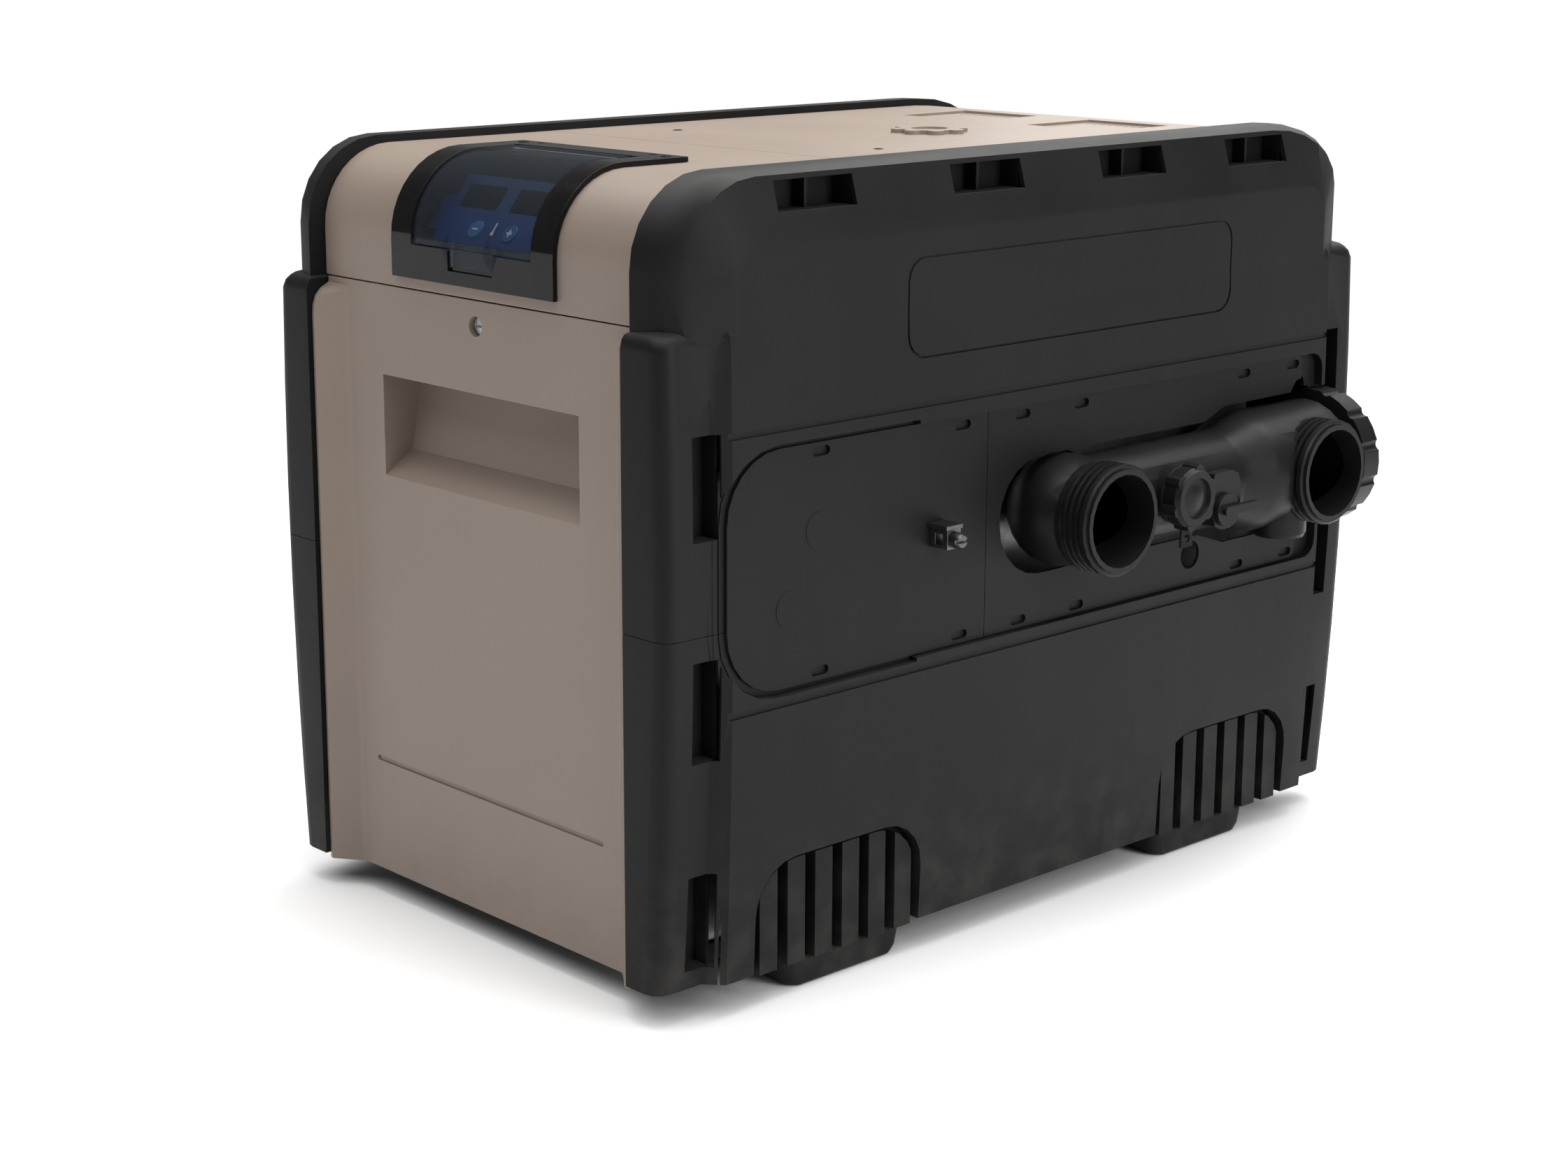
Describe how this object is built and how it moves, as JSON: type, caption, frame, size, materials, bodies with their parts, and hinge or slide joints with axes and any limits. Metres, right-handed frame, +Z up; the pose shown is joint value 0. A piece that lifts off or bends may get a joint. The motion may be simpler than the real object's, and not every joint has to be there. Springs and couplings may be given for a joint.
{
  "type": "pool heat pump unit",
  "caption": "Low polymer-clad pool heater cabinet on two skid feet, with a lift-off door, control pod under a clear lid and a two-union water header.",
  "frame": {"origin": "on the ground under the middle of the whole unit, header included; the cabinet's own middle is at x = -0.027", "axes": "+Z up, -Y out of the door, +X out of the water header"},
  "size_m": [0.531, 0.766, 0.588],
  "materials": {
    "charcoal": "moulded, fine grain",
    "tan": "satin",
    "gloss_black": "polished",
    "clear_smoke": "clear, smoked",
    "display_blue": "printed film",
    "button_blue": "satin",
    "pipe_black": "glass-filled, satin",
    "seal_rubber": "matt",
    "steel": "bright",
    "zinc": "zinc plated",
    "copper": "copper, dull",
    "cast_housing": "painted",
    "cast_alloy": "as cast",
    "board_green": "circuit board",
    "ivory": "moulded",
    "red_knob": "moulded"
  },
  "bodies": {
    "cabinet": {"upper_side_right": "charcoal", "lower_side_right": "charcoal", "upper_side_left": "charcoal", "lower_side_left": "charcoal", "front_skid": "charcoal", "rear_skid": "charcoal", "base_pan": "charcoal", "gas_pipe": "zinc", "cabinet_frame": "steel", "lid_hinge_pin": "steel", "combustion_chamber": "steel", "burner_drum": "steel", "flue_collector": "steel", "equipment_panel": "steel", "rear_panel": "tan", "hood": "tan", "top_panel": "tan", "control_bezel": "gloss_black", "display_panel": "display_blue", "display_board": "board_green", "control_board": "board_green", "header_body": "pipe_black", "header_end_plug": "pipe_black", "inlet_outlet_box": "pipe_black", "return_box": "pipe_black", "header_end_seal": "seal_rubber", "cap_strap": "seal_rubber", "bypass_seat": "ivory", "igniter": "ivory", "tube_bundle": "copper", "gas_feed_tube": "copper", "blower_housing": "cast_housing", "blower_motor": "cast_housing", "transformer": "cast_housing", "pressure_switch": "cast_housing", "gas_valve": "cast_alloy"},
    "door": {"front_door": "tan"},
    "door_lock": {"door_lock_screw": "steel"},
    "junction_panel": {"junction_cover": "charcoal", "bonding_lug": "zinc"},
    "bonding_clamp": {"bonding_screw": "zinc"},
    "header_panel": {"header_cover": "charcoal"},
    "left_panel": {"left_cover": "charcoal"},
    "lid": {"display_lid": "clear_smoke"},
    "minus_key": {"minus_button": "button_blue"},
    "plus_key": {"plus_button": "button_blue"},
    "end_nut": {"header_end_nut": "pipe_black"},
    "drain_knob": {"drain_cap": "pipe_black"},
    "wing_knob": {"wing_plug": "pipe_black"},
    "bypass_valve": {"bypass_poppet": "ivory"},
    "fan": {"blower_wheel": "steel"},
    "gas_tap": {"gas_valve_knob": "red_knob"}
  },
  "joints": [
    {"name": "door_lift_off", "type": "slide", "parent": "cabinet", "child": "door", "axis": [0, -1, 0], "range_m": [0, 0.2]},
    {"name": "lock_turn", "type": "hinge", "parent": "door", "child": "door_lock", "pos_m": [-0.027, -0.352, 0.466], "axis": [0, 1, 0], "range_deg": [0, 90]},
    {"name": "junction_cover_off", "type": "slide", "parent": "cabinet", "child": "junction_panel", "axis": [1, 0, 0], "range_m": [0, 0.12]},
    {"name": "bonding_screw_turn", "type": "hinge", "parent": "junction_panel", "child": "bonding_clamp", "pos_m": [0.223, -0.127, 0.316], "axis": [1, 0, 0], "range_deg": [0, 720]},
    {"name": "header_cover_off", "type": "slide", "parent": "cabinet", "child": "header_panel", "axis": [1, 0, 0], "range_m": [0, 0.12]},
    {"name": "left_cover_off", "type": "slide", "parent": "cabinet", "child": "left_panel", "axis": [-1, 0, 0], "range_m": [0, 0.12]},
    {"name": "lid_hinge", "type": "hinge", "parent": "cabinet", "child": "lid", "pos_m": [-0.027, -0.2715, 0.5826], "axis": [-1, 0, 0], "range_deg": [0, 100]},
    {"name": "minus_press", "type": "slide", "parent": "cabinet", "child": "minus_key", "axis": [0, 0.7837, -0.6211], "range_m": [0, 0.0012], "stiffness_N_per_m": 600},
    {"name": "plus_press", "type": "slide", "parent": "cabinet", "child": "plus_key", "axis": [0, 0.7837, -0.6211], "range_m": [0, 0.0012], "stiffness_N_per_m": 600},
    {"name": "end_nut_turn", "type": "hinge", "parent": "cabinet", "child": "end_nut", "pos_m": [0.207, 0.327, 0.315], "axis": [0, 1, 0], "range_deg": [0, 720]},
    {"name": "drain_cap_turn", "type": "hinge", "parent": "cabinet", "child": "drain_knob", "pos_m": [0.258, 0.097, 0.32], "axis": [1, 0, 0], "range_deg": [0, 720]},
    {"name": "wing_plug_turn", "type": "hinge", "parent": "cabinet", "child": "wing_knob", "pos_m": [0.253, 0.152, 0.301], "axis": [1, 0, 0], "range_deg": [0, 90]},
    {"name": "bypass_open", "type": "slide", "parent": "cabinet", "child": "bypass_valve", "axis": [0, 1, 0], "range_m": [0, 0.012], "stiffness_N_per_m": 400},
    {"name": "fan_spin", "type": "hinge", "parent": "cabinet", "child": "fan", "pos_m": [-0.057, -0.11, 0.15], "axis": [1, 0, 0], "continuous": true},
    {"name": "gas_tap_turn", "type": "hinge", "parent": "cabinet", "child": "gas_tap", "pos_m": [-0.172, -0.155, 0.15], "axis": [0, 1, 0], "range_deg": [0, 90]}
  ]
}
